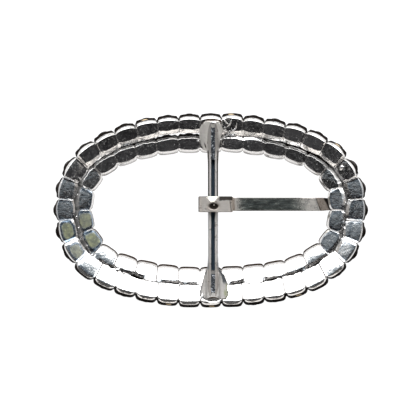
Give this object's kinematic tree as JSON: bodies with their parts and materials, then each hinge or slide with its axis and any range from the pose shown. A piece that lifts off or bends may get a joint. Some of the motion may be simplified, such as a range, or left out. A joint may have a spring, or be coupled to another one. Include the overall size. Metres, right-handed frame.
{
  "type": "rhinestone belt buckle",
  "caption": "Oval belt buckle, a gently arched frame of two rows of cup-set rhinestones with a soldered crossbar and a swinging tongue, lying face down.",
  "frame": {"origin": "on the surface it lies on, under the middle of the oval", "axes": "+X along the oval towards the tongue's tip, +Y across it along the crossbar, +Z to the buckle's back, away from the stones"},
  "size_m": [0.0692, 0.0426, 0.0075],
  "materials": {
    "plated_metal": "bright plate over a slightly pitted casting",
    "nickel_strip": "warm satin strip, brushed lengthwise",
    "crystal": "clear cut crystal with a golden-brown foiled back"
  },
  "bodies": {
    "frame": {"frame": "plated_metal", "outer_stones": "crystal", "inner_stones": "crystal"},
    "tongue": {"tongue": "nickel_strip"}
  },
  "joints": [
    {"name": "tongue_swing", "type": "hinge", "parent": "frame", "child": "tongue", "pos_m": [0.0005, 0.00126, 0.0041], "axis": [0, 1, 0], "range_deg": [-3.5, 166]}
  ]
}
